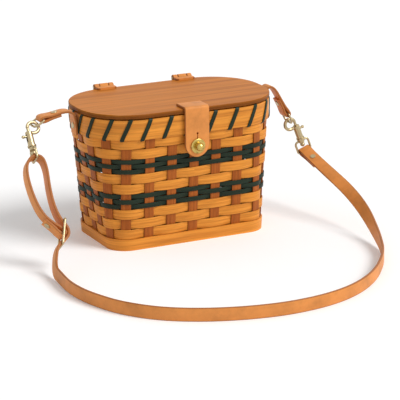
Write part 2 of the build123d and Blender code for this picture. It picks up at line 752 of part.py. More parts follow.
def make_strap_run():
    """The strap's free run: a flat section carried along straight runs and arcs, turned on edge."""
    near = lay_on_strap
    start = fold_plane.origin + fold_way * fold_length - fold_plane.y_dir * near
    last_points = [Vector(*p) for p in loop_points()[-2:]]
    onward = (last_points[1] - last_points[0]).normalized() * strap_lead
    points = [start, start + fold_way * strap_lead] + [Vector(*p) for p in strap_route]
    points += [loop_place(loop_end + onward), loop_place(loop_end)]
    radii = round_corners([(p.X, p.Y, p.Z) for p in points], 400.0)
    path = FilletPolyline(*points, radius=radii)
    count = round(path.length / 6.5)
    first = fold_plane.z_dir
    last = loop_plane().z_dir
    if last.Z < 0:
        last = last * -1
    sections = []
    for i in range(count + 1):
        along = path.length * i / count
        ease_in = min(along / twist_right, 1.0)
        ease_out = min((path.length - along) / twist_left, 1.0)
        wide = first * (1 - ease_in) + last * (1 - ease_out) + Vector(0, 0, 1) * (ease_in + ease_out - 1)
        way = path % (i / count)
        wide = (wide - way * wide.dot(way)).normalized() * (strap_width / 2)
        thick = way.cross(wide).normalized() * (strap_leather / 2)
        middle = path @ (i / count)
        corners = [middle + wide + thick, middle + wide - thick, middle - wide - thick, middle - wide + thick]
        sections.append(Face(Wire.make_polygon(corners, close=True)))
    run = loft(sections, ruled=True)
    section = strap_width * strap_leather
    print("strap run", round(path.length), "share of section", round(run.volume / path.length / section, 3))
    return run


def hinge_rim_rivet(x):
    """Place, way and grip of the rivet that holds a hinge's lower leaf on the rim."""
    place = lower_rivet_place(x)
    return place, Vector(0, -1, 0), place.Y - (mouth_depth / 2 - rim_out)


def all_rivets():
    """The rivets in their four groups, each group in one file."""
    ears = ((-1, left_fold), (1, right_fold))
    return {
        "ear_rim_rivets": [rivet(ear_rim_place(s), Vector(-s, 0, 0), ear_grip()) for s, f in ears],
        "ear_fold_rivets": [rivet(*ear_fold_place(s, f), 2 * ear_leather + 0.1) for s, f in ears],
        "hinge_rim_rivets": [rivet(*hinge_rim_rivet(x)) for x in hinge_places()],
        "strap_rivets": [rivet(*fold_rivet(), strap_grip), rivet(*loop_rivet_place(), strap_grip)],
    }


def export(shape, name):
    os.makedirs("parts", exist_ok=True)
    export_step(shape, f"parts/{name}.step")


def main():
    wall = make_woven_wall()
    outer = make_rim_outer()
    inner = make_rim_inner()
    bores =[ear_rim_bore(side) for side in (-1, 1)]
    bores += [rivet_bore(*hinge_rim_rivet(x)) for x in hinge_places()]
    for bore in bores:
        wall -= bore
        outer -= bore
        inner -= bore
    stud_bore = rod(Vector(0, -mouth_depth, stud_height), Vector(0, 0, stud_height), stud_neck_radius * 0.75)
    wall -= stud_bore
    export(make_base_board(), "base_board")
    export(wall, "woven_wall")
    export(make_base_band(), "base_band")
    export(outer, "rim_outer")
    export(inner, "rim_inner")
    export(Compound(children=make_lashing()), "rim_lashing")
    export(make_lid_board(), "lid_board")
    export(make_tab_top(), "closure_tab_top")
    export(make_tab_flap(), "closure_tab_flap")
    export(make_stud(), "stud")
    export(make_stud_washer(), "stud_washer")
    for name, x in zip(("left", "right"), hinge_places()):
        export(upper_leaf(x), f"hinge_upper_{name}")
        export(lower_leaf(x), f"hinge_lower_{name}")
        export(make_hinge_pin(x), f"hinge_pin_{name}")
    for name, side, fold, turn, frame, eye_turn in (
        ("left", -1, left_fold, left_ring_turn, left_hook, 90.0),
        ("right", 1, right_fold, right_ring_turn, right_hook, 0.0),
    ):
        export(make_ear(side, fold), f"ear_{name}")
        export(make_ring(fold, turn), f"d_ring_{name}")
        export(make_hook(frame), f"snap_hook_{name}")
        export(make_bolt(frame), f"snap_bolt_{name}")
        export(make_spring(frame), f"bolt_spring_{name}")
        export(make_eye(frame, eye_turn), f"swivel_eye_{name}")
    export(make_strap_fold(), "strap_fold")
    export(make_strap_run(), "strap_run")
    export(make_strap_loop(), "strap_loop")
    export(make_buckle(), "slide_buckle")
    for name, group in all_rivets().items():
        export(Compound(children=group), name)
    print("left hook", left_hook.origin, left_hook.x_dir, left_hook.z_dir)
    print("right hook", right_hook.origin, right_hook.x_dir, right_hook.z_dir)


main()
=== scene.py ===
import bpy
import math
import numpy as np
from bpy.props import FloatProperty, FloatVectorProperty, PointerProperty
from mathutils import Matrix, Vector


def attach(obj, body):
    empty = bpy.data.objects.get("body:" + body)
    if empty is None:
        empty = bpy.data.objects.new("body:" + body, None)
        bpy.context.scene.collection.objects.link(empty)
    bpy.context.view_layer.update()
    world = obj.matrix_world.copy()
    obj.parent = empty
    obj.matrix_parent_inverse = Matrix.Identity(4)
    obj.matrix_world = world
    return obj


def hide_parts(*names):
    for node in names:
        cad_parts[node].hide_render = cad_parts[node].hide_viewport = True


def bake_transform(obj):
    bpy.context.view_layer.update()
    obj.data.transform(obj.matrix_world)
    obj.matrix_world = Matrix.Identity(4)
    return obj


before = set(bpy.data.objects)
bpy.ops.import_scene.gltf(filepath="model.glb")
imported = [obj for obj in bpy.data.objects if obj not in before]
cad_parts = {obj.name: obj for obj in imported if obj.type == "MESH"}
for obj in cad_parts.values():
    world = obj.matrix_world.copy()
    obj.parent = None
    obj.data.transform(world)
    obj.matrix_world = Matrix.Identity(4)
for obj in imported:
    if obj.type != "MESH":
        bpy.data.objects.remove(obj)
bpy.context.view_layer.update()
MM = 0.001

bl_info = {
    "name": "Basket purse",
    "version": (1, 0, 0),
    "blender": (4, 5, 0),
    "location": "3D View > Sidebar > Basket",
    "description": "Flat-reed weave, lashing, leather and brass of a lidded basket purse",
    "category": "Object",
}

# Levels and sizes in millimetres, as the solids have them
WEAVE_TOP = 108.0
RIM_TOP = 126.9
LID_BOTTOM = 128.25
LID_TOP = 132.25
FRONT_PITCH = 22.8
FRONT_HALF = 3 * FRONT_PITCH
STAKE_THICK = 1.2
WEAVER_THICK = 1.0
HINGE = (61.4, 132.95)
TAB_MIDDLE = -59.35
TAB_HALF_WIDTH = 12.5
TAB_TAIL = 98.75
STUD_HEIGHT = 96.75
STUD_HOLE = 2.7
SLIT_HEIGHT = STUD_HEIGHT + 12
STRAP_THICK = 0.0024

# How far the strap's middle lies from a bar's, and from the middle of two layers
STRAP_LAY, STRAP_NEAR = 2.4, 1.25

# The wall's length, depth and corner on the floor, and what each gains up to the weave's top
PLAN_FOOT = (157.2, 91.2, 17.6)
PLAN_GAIN = (29.8, 16.8, 28.9)
STAKES = 24

# Rows of the weave from the bottom: low edge, high edge, dyed green, outside at the odd stakes
ROWS = (
    (11.0, 20.75, False, True), (20.75, 30.5, False, False), (30.5, 40.25, False, True),
    (40.25, 45.25, True, False), (45.25, 50.25, True, True), (50.25, 55.25, True, False),
    (55.25, 65.0, False, True), (65.0, 74.75, False, False), (74.75, 79.5, True, True),
    (79.5, 84.25, True, False), (84.25, 89.0, True, True), (89.0, 98.75, False, False),
    (98.75, 108.0, False, True),
)

# Places of the lashing's wraps round the rim, from the front centre
WRAPS = (17.0, 39.5, 59.5, 79.0, 98.0, 117.0, *np.linspace(138.0, 372.0, 12),
         391.0, 407.0, 425.7, 442.2, 460.2, 481.7, 504.0)


def linear(text):
    """A six-digit sRGB colour turned to linear light."""
    c = np.array([int(text[i:i + 2], 16) for i in (0, 2, 4)]) / 255
    return tuple(np.where(c <= 0.04045, c / 12.92, ((c + 0.055) / 1.055) ** 2.4))


class BasketSizes(bpy.types.PropertyGroup):
    """Sizes a maker would change."""
    reed_gap: FloatProperty(name="Reed gap", description="Gap between rows of weavers",
                            default=0.00045, unit="LENGTH")
    stake_width: FloatProperty(name="Stake width", description="Width of the upright flat reed",
                               default=0.0095, unit="LENGTH")
    lashing_width: FloatProperty(name="Lashing width", description="Width of the green lashing",
                                 default=0.0038, unit="LENGTH")
    strap_width: FloatProperty(name="Strap width", description="Width of the leather strap",
                               default=0.012, unit="LENGTH")


class BasketColours(bpy.types.PropertyGroup):
    """Colours a maker would change."""
    reed: FloatVectorProperty(name="Reed", description="Honey-stained flat reed", size=3,
                              default=linear("df9035"), subtype="COLOR")
    stake: FloatVectorProperty(name="Stakes", description="Darker upright reed", size=3,
                               default=linear("a85a1c"), subtype="COLOR")
    green: FloatVectorProperty(name="Green", description="Dark green dyed reed", size=3,
                               default=linear("1d2c1e"), subtype="COLOR")
    board: FloatVectorProperty(name="Board", description="Honey-stained lid and bottom", size=3,
                               default=linear("c87a2c"), subtype="COLOR")
    leather: FloatVectorProperty(name="Leather", description="Tan saddle leather", size=3,
                                 default=linear("d98b45"), subtype="COLOR")


def sizes():
    return bpy.context.scene.basket_sizes


def colours():
    return bpy.context.scene.basket_colours


# Meshes
def section(corner):
    """Round-cornered box on (-1..1, -1..1): 16 points, each corner a quarter ellipse whose two
    radii are the shares in corner."""
    turn = np.linspace(0, math.pi / 2, 4)
    quarter = np.stack([1 - corner[0] + corner[0] * np.cos(turn),
                        1 - corner[1] + corner[1] * np.sin(turn)], 1)
    flip = quarter[::-1]
    return np.concatenate([quarter, flip * [-1, 1], -quarter, flip * [1, -1]])


def band(line, wide, width, thick, closed=False, soft=0.35, shift=0.0):
    """A flat strip carried along a line: point = line + across * width + through * thick, with
    through = (way along the line) x (across). soft is the corner's share of the thickness."""
    line = np.asarray(line, float)
    count = len(line)
    width = np.broadcast_to(np.asarray(width, float), (count,))
    thick = np.broadcast_to(np.asarray(thick, float), (count,))
    if closed:
        way = np.roll(line, -1, 0) - np.roll(line, 1, 0)
    else:
        way = np.gradient(line, axis=0)
    way /= np.linalg.norm(way, axis=1)[:, None]
    wide = np.broadcast_to(np.asarray(wide, float), line.shape)
    wide = wide - way * (wide * way).sum(1)[:, None]
    wide = wide / np.linalg.norm(wide, axis=1)[:, None]
    through = np.cross(way, wide)
    corner = (soft * thick.mean() / width.mean() * 2, soft * 2)
    ring = section((min(corner[0], 1), min(corner[1], 1)))
    across = ring[None, :, 0] * width[:, None] / 2
    points = line[:, None] + wide[:, None] * across[..., None]
    points = points + through[:, None] * (ring[None, :, 1] * thick[:, None] / 2)[..., None]
    size = len(ring)
    rows = np.arange(count if closed else count - 1)
    i, j = np.meshgrid(rows, np.arange(size), indexing="ij")
    i2, j2 = (i + 1) % count, (j + 1) % size
    quads = np.stack([i * size + j, i * size + j2, i2 * size + j2, i2 * size + j], -1)
    steps = np.linalg.norm(np.diff(line, axis=0, append=line[:1]), axis=1)
    along = np.concatenate([[0], np.cumsum(steps)])
    uv = np.stack([
        np.stack([along[i], across[i, j] + shift], -1),
        np.stack([along[i], across[i, j2] + shift], -1),
        np.stack([along[i + 1], across[i2, j2] + shift], -1),
        np.stack([along[i + 1], across[i2, j] + shift], -1),
    ], 2)
    quads, uv = quads.reshape(-1, 4), uv.reshape(-1, 4, 2)
    if not closed:
        k = np.arange(size // 2 - 1)
        cap = np.stack([k, k + 1, size - 2 - k, size - 1 - k], 1)
        last = cap + (count - 1) * size
        flat = across[0] + shift
        quads = np.concatenate([quads, cap[:, ::-1], last])
        uv_a = np.stack([np.zeros(cap.shape), flat[cap[:, ::-1]]], -1)
        uv_b = np.stack([np.full(cap.shape, along[count - 1]), flat[cap]], -1)
        uv = np.concatenate([uv, uv_a, uv_b])
    edge = np.tile((np.abs(ring[:, 0]) > 1 - corner[0] * 0.8).astype(float), count)
    return points.reshape(-1, 3), quads, uv, edge


def put(name, parts, material, node=(), body="basket"):
    """One mesh object from strips, its UV in metres and an edge attribute, riding a body unless
    body is None."""
    shift, points, quads, uvs, edges = 0, [], [], [], []
    for v, q, uv, edge in parts:
        points.append(v)
        quads.append(q + shift)
        uvs.append(uv)
        edges.append(edge)
        shift += len(v)
    quads = np.concatenate(quads)
    mesh = bpy.data.meshes.new(name)
    mesh.from_pydata(np.concatenate(points), [], quads)
    layer = mesh.uv_layers.new(name="strip")
    layer.data.foreach_set("uv", np.concatenate(uvs).reshape(-1).astype(np.float32))
    rim = mesh.attributes.new("edge", "FLOAT", "POINT")
    rim.data.foreach_set("value", np.concatenate(edges).astype(np.float32))
    mesh.polygons.foreach_set("use_smooth", np.ones(len(quads), bool))
    mesh.update()
    mesh.validate()
    mesh.set_sharp_from_angle(angle=math.radians(40))
    piece = bpy.data.objects.new(name, mesh)
    bpy.context.scene.collection.objects.link(piece)
    mesh.materials.append(material)
    if body:
        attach(piece, body)
    if node:
        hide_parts(*node)
    return piece


def smooth(points, per):
    """Quadratic B-spline through the middles of the runs, ends kept: three points blended by t."""
    p = np.asarray(points, float)
    mids = (p[:-1] + p[1:]) / 2
    mids[0], mids[-1] = p[0], p[-1]
    t = np.linspace(0, 1, per, endpoint=False)[None, :, None]
    a, b, c = mids[:-1, None], p[1:-1, None], mids[1:, None]
    curve = a * (1 - t) ** 2 + 2 * b * t * (1 - t) + c * t ** 2
    return np.concatenate([curve.reshape(-1, p.shape[1]), mids[-1:]])


# The basket's outline
def plan(z):
    """The wall's length, depth and corner at a height: they grow linearly up to the weave's top."""
    t = np.clip(np.asarray(z, float) / WEAVE_TOP, 0, 1)
    return [foot + gain * t for foot, gain in zip(PLAN_FOOT, PLAN_GAIN)]


def outline(s, z, offset):
    """Points on the wall moved outwards by offset: a rounded rectangle whose sizes come from plan;
    s runs round it from the front centre."""
    s, z, offset = np.broadcast_arrays(np.asarray(s, float), z, offset)
    length, depth, r = plan(z)
    front, end, arc = length / 2 - r, depth / 2 - r, r * math.pi / 2
    quarter = front + arc + end
    s = (s + 2 * quarter) % (4 * quarter) - 2 * quarter
    a = np.abs(s)
    back = a > quarter
    b = np.where(back, 2 * quarter - a, a)
    turn = np.clip((b - front) / r, 0, math.pi / 2)
    nx, ny = np.sin(turn), -np.cos(turn)
    x = np.minimum(b, front) + r * nx
    y = -end + r * ny + np.maximum(b - front - arc, 0)
    y, ny = np.where(back, -y, y), np.where(back, -ny, ny)
    x, nx = x * np.where(s < 0, -1, 1), nx * np.where(s < 0, -1, 1)
    return np.stack([x + nx * offset, y + ny * offset, z], -1)


def stake_line(index, z):
    """Distance round the outline at a stake number from 0 to 24, whole at stakes, even between.
    Front and back have 7 stakes at one pitch, each end has 5 at the pitch that is left."""
    length, depth, r = plan(z)
    q = length / 2 + depth / 2 - 2 * r + r * math.pi / 2
    index, q = np.broadcast_arrays(np.asarray(index, float) % STAKES, q)
    end_pitch = (2 * q - 2 * FRONT_HALF) / 6
    return np.select(
        [index <= 3, index <= 9, index <= 15, index <= 21],
        [index * FRONT_PITCH, FRONT_HALF + (index - 3) * end_pitch,
         2 * q + (index - 12) * FRONT_PITCH, 2 * q + FRONT_HALF + (index - 15) * end_pitch],
        4 * q + (index - STAKES) * FRONT_PITCH)


def weaver(low, high, odd_out, turn):
    """A row: offset = 1.1 mm times a flattened cosine of the stake number, out at the odd or the
    even stakes; it sags and rises by 0.06 mm three times round."""
    steps = 14
    index = np.arange(STAKES * steps) / steps
    wave = np.cos(math.pi * index) * (-1 if odd_out else 1)
    offset = (STAKE_THICK + WEAVER_THICK) / 2 * wave * (1.3 - 0.3 * wave ** 2)
    gap = sizes().reed_gap / MM / 2
    sag = 0.12 * np.sin(2 * math.pi * index / STAKES * 3 + turn)
    bottom = outline(stake_line(index, low), low + gap + sag * 0.5, offset)
    top = outline(stake_line(index, high), high - gap + sag * 0.5, offset)
    middle = (bottom + top) / 2
    return band(middle * MM, top - bottom, (high - low - 2 * gap) * MM, WEAVER_THICK * MM,
                closed=True, soft=0.3, shift=turn * 0.11)


def stake(number):
    """An upright strip on the middle line of the wall, a touch bent away from each weaver."""
    z = np.linspace(0.4, RIM_TOP - 0.6, 70)
    mids = np.array([(low + high) / 2 for low, high, green, odd_out in ROWS])
    outs = np.array([-1 if odd_out else 1 for low, high, green, odd_out in ROWS], float)
    outs = outs * (1 if number % 2 else -1)
    bend = np.interp(z, mids, outs, left=0, right=0) * 0.12
    bend = np.where(z > WEAVE_TOP, 0, bend)
    s = stake_line(number, z)
    across = outline(s + 0.5, z, bend) - outline(s - 0.5, z, bend)
    return band(outline(s, z, bend) * MM, across, sizes().stake_width, STAKE_THICK * MM, soft=0.3,
                shift=number * 0.07)


def wrap(place):
    """One lashing: up the rim's outside with a lean, over its top and down inside. The route's
    points are offset from the wall, height and slide round the rim."""
    rim_thick, gap, half_lashing = 2.8, 0.25, 0.4
    near = rim_thick + gap + half_lashing
    route = np.array([
        (1.9, 106.9, -4.4), (near, 108.0, -4.25), (near, 114.0, -1.6), (near, 121.0, 1.6),
        (near, 127.5, 4.2), (0.0, 127.6, 4.3), (-near, 127.5, 4.2), (-near, 121.0, 2.6),
        (-near, 111.0, 0.1), (-1.9, 109.2, -0.2),
    ])
    offset, z, slide = smooth(route, 5).T
    s = place + slide
    across = outline(s + 0.5, z, offset) - outline(s - 0.5, z, offset)
    return band(outline(s, z, offset) * MM, across, sizes().lashing_width, 2 * half_lashing * MM,
                shift=place * 0.002)


# Materials
def add(tree, kind, values=None, stops=None, **settings):
    """Adds one node with its settings. The values are constants or sockets to link, and stops
    fill a colour ramp."""
    node = tree.nodes.new(kind)
    for key, value in settings.items():
        setattr(node, key, value)
    for key, value in (values or {}).items():
        if isinstance(value, bpy.types.NodeSocket):
            tree.links.new(value, node.inputs[key])
        else:
            node.inputs[key].default_value = value
    if stops:
        ramp = node.color_ramp.elements
        while len(ramp) < len(stops):
            ramp.new(0.5)
        for element, (place, colour) in zip(ramp, stops):
            element.position, element.color = place, tuple(colour)[:3] + (1,)
    return node


def shade(colour, share):
    return tuple(min(c * share, 1.0) for c in colour)


def start(name):
    """A new material with its Principled shader."""
    material = bpy.data.materials.get(name) or bpy.data.materials.new(name)
    material.use_nodes = True
    tree = material.node_tree
    tree.nodes.clear()
    shader = add(tree, "ShaderNodeBsdfPrincipled")
    add(tree, "ShaderNodeOutputMaterial", {"Surface": shader.outputs[0]})
    return material, tree, shader


def reed(name, colour, contrast, rough, on_strip=True, grain=(40.0, 1500.0, 1.0), stain=None,
         specular=0.2):
    """Split rattan or wood: pores and fibres run along it, as many to the metre as grain says,
    with slow changes of the stain. A strip's narrow edges carry painted shade where strips meet,
    and stain gives the low and high edge of a board whose sides are dark."""
    material, tree, shader = start(name)
    coords = add(tree, "ShaderNodeTexCoord")
    place = coords.outputs["UV" if on_strip else "Object"]
    fine = add(tree, "ShaderNodeMapping", {"Vector": place, "Scale": grain})
    fibre = add(tree, "ShaderNodeTexNoise", {
        "Vector": fine.outputs[0], "Scale": 1.0, "Detail": 5.0, "Roughness": 0.6})
    slow = add(tree, "ShaderNodeMapping", {
        "Vector": place, "Scale": tuple(g * 0.28 for g in grain)})
    patch = add(tree, "ShaderNodeTexNoise", {
        "Vector": slow.outputs[0], "Scale": 1.0, "Detail": 3.0})
    tone = add(tree, "ShaderNodeValToRGB", {"Fac": fibre.outputs["Fac"]}, stops=[
        (0.30, shade(colour, 1 - contrast)), (0.50, colour),
        (0.70, shade(colour, 1 + contrast * 0.45))])
    stains = add(tree, "ShaderNodeValToRGB", {"Fac": patch.outputs["Fac"]}, stops=[
        (0.35, (0.74, 0.66, 0.56)), (0.60, (1.0, 1.0, 1.0))])
    base = add(tree, "ShaderNodeMix", {0: 0.85, 6: tone.outputs[0], 7: stains.outputs[0]},
               data_type="RGBA", blend_type="MULTIPLY")
    result = base.outputs[2]
    if on_strip:
        # Painted shade: a strip's narrow edges, in the gaps where strips meet, are mixed towards a
        # third of its colour.
        edge = add(tree, "ShaderNodeAttribute", attribute_name="edge")
        cut = add(tree, "ShaderNodeMath", {0: edge.outputs["Fac"], 1: 0.55}, operation="MULTIPLY")
        dark = add(tree, "ShaderNodeMix", {
            0: cut.outputs[0], 6: result, 7: shade(colour, 0.35) + (1,)}, data_type="RGBA")
        result = dark.outputs[2]
    if stain:
        split = add(tree, "ShaderNodeSeparateXYZ", {0: coords.outputs["Object"]})
        level = add(tree, "ShaderNodeMapRange", {
            "Value": split.outputs[2], "From Min": stain[0], "From Max": stain[1]})
        dark_at = ((0.0, 0.0), (0.10, 0.75), (0.46, 0.75), (0.52, 1.0), (0.58, 0.6), (0.90, 0.6),
                   (1.0, 0.0))
        mask = add(tree, "ShaderNodeValToRGB", {"Fac": level.outputs[0]}, stops=[
            (height, (share,) * 3) for height, share in dark_at])
        deep = add(tree, "ShaderNodeMix", {
            0: mask.outputs[0], 6: result, 7: linear("5a3015") + (1,)}, data_type="RGBA")
        result = deep.outputs[2]
    tree.links.new(result, shader.inputs["Base Color"])
    bump = add(tree, "ShaderNodeBump", {"Height": fibre.outputs["Fac"], "Strength": 0.35,
                                        "Distance": 0.0003})
    tree.links.new(bump.outputs[0], shader.inputs["Normal"])
    shader.inputs["Roughness"].default_value = rough
    shader.inputs["Specular IOR Level"].default_value = specular
    return material


def leather(name, colour):
    """Vegetable-tanned saddle leather: pores about 0.6 mm apart, tone that changes over
    centimetres, and burnished dark edges."""
    material, tree, shader = start(name)
    coords = add(tree, "ShaderNodeTexCoord")
    pores = add(tree, "ShaderNodeTexVoronoi", {"Vector": coords.outputs["Object"], "Scale": 1800.0})
    wear = add(tree, "ShaderNodeTexNoise", {"Vector": coords.outputs["Object"], "Scale": 45.0,
                                            "Detail": 6.0, "Roughness": 0.65})
    tone = add(tree, "ShaderNodeValToRGB", {"Fac": wear.outputs["Fac"]}, stops=[
        (0.30, shade(colour, 0.78)), (0.52, colour), (0.72, shade(colour, 1.14))])
    edge = add(tree, "ShaderNodeAttribute", attribute_name="edge")
    cut = add(tree, "ShaderNodeMath", {0: edge.outputs["Fac"], 1: 0.7}, operation="MULTIPLY")
    base = add(tree, "ShaderNodeMix", {
        0: cut.outputs[0], 6: tone.outputs[0], 7: linear("8a4d22") + (1,)}, data_type="RGBA")
    tree.links.new(base.outputs[2], shader.inputs["Base Color"])
    height = add(tree, "ShaderNodeMath", {0: pores.outputs["Distance"], 1: wear.outputs["Fac"]},
                 operation="ADD")
    bump = add(tree, "ShaderNodeBump", {"Height": height.outputs[0], "Strength": 0.25,
                                        "Distance": 0.0002})
    tree.links.new(bump.outputs[0], shader.inputs["Normal"])
    shader.inputs["Roughness"].default_value = 0.48
    shader.inputs["Specular IOR Level"].default_value = 0.25
    return material


def brass(name, bright, dull, rough, worn):
    """Cast or spun brass: bright where it is rubbed, with a brown film in patches 4 mm across."""
    material, tree, shader = start(name)
    coords = add(tree, "ShaderNodeTexCoord")
    film = add(tree, "ShaderNodeTexNoise", {"Vector": coords.outputs["Object"], "Scale": 240.0,
                                            "Detail": 6.0, "Roughness": 0.6})
    tone = add(tree, "ShaderNodeValToRGB", {"Fac": film.outputs["Fac"]}, stops=[
        (worn - 0.12, linear(dull)), (worn + 0.12, linear(bright))])
    tree.links.new(tone.outputs[0], shader.inputs["Base Color"])
    gloss = add(tree, "ShaderNodeMapRange", {"Value": film.outputs["Fac"], "To Min": rough + 0.14,
                                             "To Max": rough - 0.06})
    tree.links.new(gloss.outputs[0], shader.inputs["Roughness"])
    bump = add(tree, "ShaderNodeBump", {"Height": film.outputs["Fac"], "Strength": 0.12,
                                        "Distance": 0.0002})
    tree.links.new(bump.outputs[0], shader.inputs["Normal"])
    shader.inputs["Metallic"].default_value = 1.0
    return material


def finish_nodes(material, *names):
    """Gives CAD nodes a finish in every one of their slots."""
    for name in names:
        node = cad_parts[name]
        if not node.data.materials:
            node.data.materials.append(material)
        for place in node.material_slots:
            place.material = material


def tan():
    """The leather that all leather pieces share."""
    name = "tan_saddle_leather"
    return bpy.data.materials.get(name) or leather(name, tuple(colours().leather))


def metal():
    """The brass that all fittings but the stud share."""
    name = "antique_brass"
    return bpy.data.materials.get(name) or brass(name, "93804b", "443821", 0.36, 0.42)


# Pieces
class BASKET_OT_weave(bpy.types.Operator):
    """Weaves the wall: upright stakes, honey rows and green rows"""
    bl_idname = "basket.weave"
    bl_label = "Weave"

    def execute(self, context):
        honey = reed("honey_flat_reed", tuple(colours().reed), 0.34, 0.5)
        upright = reed("stained_stake_reed", tuple(colours().stake), 0.38, 0.52)
        dyed = reed("green_dyed_reed", tuple(colours().green), 0.5, 0.5)
        rows = [(weaver(a, b, o, i * 1.7), g) for i, (a, b, g, o) in enumerate(ROWS)]
        put("stakes", [stake(n) for n in range(STAKES)], upright, ["woven_wall"])
        put("honey_weavers", [m for m, g in rows if not g], honey, ["woven_wall"])
        put("green_weavers", [m for m, g in rows if g], dyed, ["woven_wall"])
        return {"FINISHED"}


class BASKET_OT_woodwork(bpy.types.Operator):
    """Finishes the bottom board, band, rim hoops and lid"""
    bl_idname = "basket.woodwork"
    bl_label = "Woodwork"

    def execute(self, context):
        hoop = reed("bent_ash_hoop", tuple(colours().reed), 0.3, 0.45, False, (26.0, 26.0, 900.0))
        lengthwise = (14.0, 420.0, 420.0)
        board = reed("honey_stained_board", tuple(colours().board), 0.22, 0.38, False, lengthwise,
                     (LID_BOTTOM * MM, LID_TOP * MM), specular=0.04)
        bottom = reed("bottom_board", tuple(colours().board), 0.22, 0.5, False, lengthwise)
        finish_nodes(hoop, "rim_outer", "rim_inner", "base_band")
        finish_nodes(board, "lid_board")
        finish_nodes(bottom, "base_board")
        return {"FINISHED"}


class BASKET_OT_lashing(bpy.types.Operator):
    """Wraps the rim with green reed; the wraps in front lie where the photograph has them"""
    bl_idname = "basket.lashing"
    bl_label = "Lashing"

    def execute(self, context):
        dyed = reed("green_lashing_reed", tuple(colours().green), 0.5, 0.45)
        put("lashing", [wrap(p) for p in WRAPS], dyed, ["rim_lashing"])
        return {"FINISHED"}


def keyhole():
    """The stud's hole with its slit and the slit's round end, as one prism outline in X and Z:
    two arcs, radii 2.7 and 1.0 mm, joined by straight sides 0.8 mm apart."""
    low = np.radians(np.linspace(98.5, 441.5, 40))
    high = np.radians(np.linspace(-66.4, 246.4, 20))
    big = np.stack([STUD_HOLE * np.cos(low), STUD_HEIGHT + STUD_HOLE * np.sin(low)], 1)
    small = np.stack([np.cos(high), SLIT_HEIGHT + np.sin(high)], 1)
    ring = np.concatenate([big, small])
    count = len(ring)
    y = np.full(count, 8.0)
    points = np.concatenate([np.stack([ring[:, 0], TAB_MIDDLE - y, ring[:, 1]], 1),
                             np.stack([ring[:, 0], TAB_MIDDLE + y, ring[:, 1]], 1)]) * MM
    i = np.arange(count)
    j = (i + 1) % count
    sides = np.stack([j, i, i + count, j + count], 1).tolist()
    mesh = bpy.data.meshes.new("keyhole")
    mesh.from_pydata(points, [], sides + [i.tolist(), (i[::-1] + count).tolist()])
    cutter = bpy.data.objects.new("keyhole", mesh)
    bpy.context.scene.collection.objects.link(cutter)
    return cutter


class BASKET_OT_closure(bpy.types.Operator):
    """Bends the closure tab over the lid's edge and finishes the stud"""
    bl_idname = "basket.closure"
    bl_label = "Closure"

    def execute(self, context):
        over = LID_TOP + 1.2
        route = [(-41.5, over), (-48.0, over), (-56.0, over), (-59.3, over),
                 (TAB_MIDDLE, over - 3.4), (TAB_MIDDLE, 122.0), (TAB_MIDDLE, 110.0),
                 (TAB_MIDDLE, TAB_TAIL)]
        line = smooth(route, 10)
        turn = np.linspace(0, 1, 24)[1:] * math.pi / 2 * 0.985
        tail = TAB_TAIL - TAB_HALF_WIDTH * np.sin(turn)
        line = np.concatenate([line, np.stack([np.full(len(tail), TAB_MIDDLE), tail], 1)])
        past = np.clip(TAB_TAIL - line[:, 1], 0, TAB_HALF_WIDTH)
        width = 2 * np.sqrt(TAB_HALF_WIDTH ** 2 - past ** 2)
        middle = np.stack([0 * past, line[:, 0], line[:, 1]], 1)
        strip = band(middle * MM, (1, 0, 0), np.maximum(width, 1.2) * MM, STRAP_THICK, soft=0.3)
        flap = put("closure_tab", [strip], tan(),
                   ["closure_tab_top", "closure_tab_flap"], None)
        cutter = keyhole()
        cut = flap.modifiers.new("slit", "BOOLEAN")
        cut.object, cut.solver = cutter, "EXACT"
        cut_flap = flap.evaluated_get(context.evaluated_depsgraph_get())
        shape = bpy.data.meshes.new_from_object(cut_flap)
        flap.modifiers.clear()
        flap.data = shape
        bpy.data.objects.remove(cutter)
        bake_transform(flap)
        finish_nodes(brass("polished_brass", "c9b064", "6b5424", 0.24, 0.35), "stud", "stud_washer")
        return {"FINISHED"}


def at_x(x, line):
    """Points in the plane of an x, from their Y and Z."""
    return np.stack([0 * line[:, 0] + x, line[:, 0], line[:, 1]], 1)


def leaf(end, corner, rest):
    """Places along a hinge leaf and its width there: the corners at its end are quarter circles."""
    rounded = end + corner * (1 - np.cos(np.linspace(0, 1, 12) * math.pi / 2))
    places = np.concatenate([rounded, rest])
    inset = np.clip(end + corner - places, 0, corner)
    width = 20 - 2 * (corner - np.sqrt(corner ** 2 - inset ** 2))
    return places, np.maximum(width, 8) * MM


def rolled(radius, first, last):
    """An arc of Y and Z round the hinge's axis, between two angles in degrees."""
    turn = np.radians(np.linspace(first, last, 40))
    return np.stack([HINGE[0] + radius * np.cos(turn), HINGE[1] + radius * np.sin(turn)], 1)


